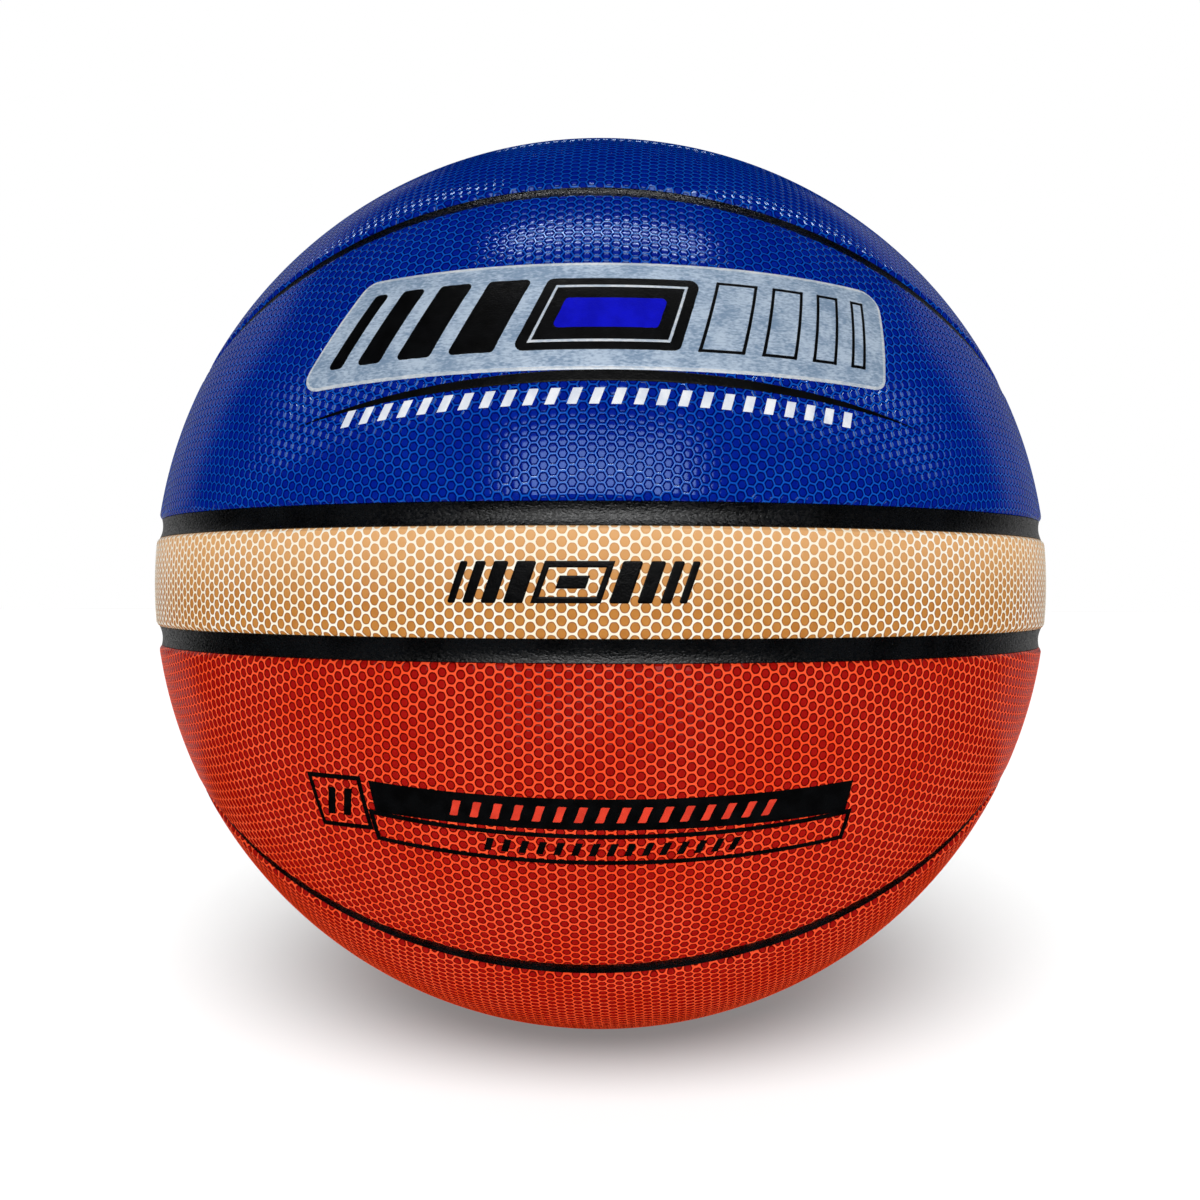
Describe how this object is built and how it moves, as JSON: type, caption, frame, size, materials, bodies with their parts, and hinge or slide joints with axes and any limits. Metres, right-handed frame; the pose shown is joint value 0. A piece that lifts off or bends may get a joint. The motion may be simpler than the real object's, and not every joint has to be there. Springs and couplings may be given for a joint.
{
  "type": "basketball",
  "caption": "Laminated basketball with hexagonal pebbled cover panels, a belt between channels, looped seams and an inflating valve.",
  "frame": {"origin": "centre of the ball", "axes": "+Z through the top panels, -Y through the front of the belt, +Y out of the valve, +X to the right"},
  "size_m": [0.2428, 0.2429, 0.2428],
  "materials": {
    "bladder_rubber": "matte butyl",
    "winding_thread": "waxed nylon thread",
    "carcass_rubber": "matte",
    "valve_rubber": "satin",
    "pad_foam": "open sponge",
    "channel_rubber": "satin, fine grain",
    "blue_cover": "pebbled composite leather",
    "cream_cover": "pebbled composite leather",
    "red_cover": "pebbled composite leather"
  },
  "bodies": {
    "root": {"bladder": "bladder_rubber", "valve_stem": "valve_rubber", "valve_plug": "valve_rubber", "winding": "winding_thread", "carcass": "carcass_rubber", "belt_channel_upper": "channel_rubber", "belt_channel_lower": "channel_rubber", "loop_channel_upper": "channel_rubber", "loop_channel_lower": "channel_rubber", "meridian_channel": "channel_rubber", "top_front_pad": "pad_foam", "upper_front_pad": "pad_foam", "belt_front_pad": "pad_foam", "lower_front_pad": "pad_foam", "bottom_front_pad": "pad_foam", "top_back_pad": "pad_foam", "upper_back_pad": "pad_foam", "belt_back_pad": "pad_foam", "lower_back_pad": "pad_foam", "bottom_back_pad": "pad_foam", "top_front_cover": "blue_cover", "upper_front_cover": "blue_cover", "belt_front_cover": "cream_cover", "lower_front_cover": "red_cover", "bottom_front_cover": "red_cover", "top_back_cover": "blue_cover", "upper_back_cover": "blue_cover", "belt_back_cover": "cream_cover", "lower_back_cover": "red_cover", "bottom_back_cover": "red_cover"}
  },
  "joints": []
}
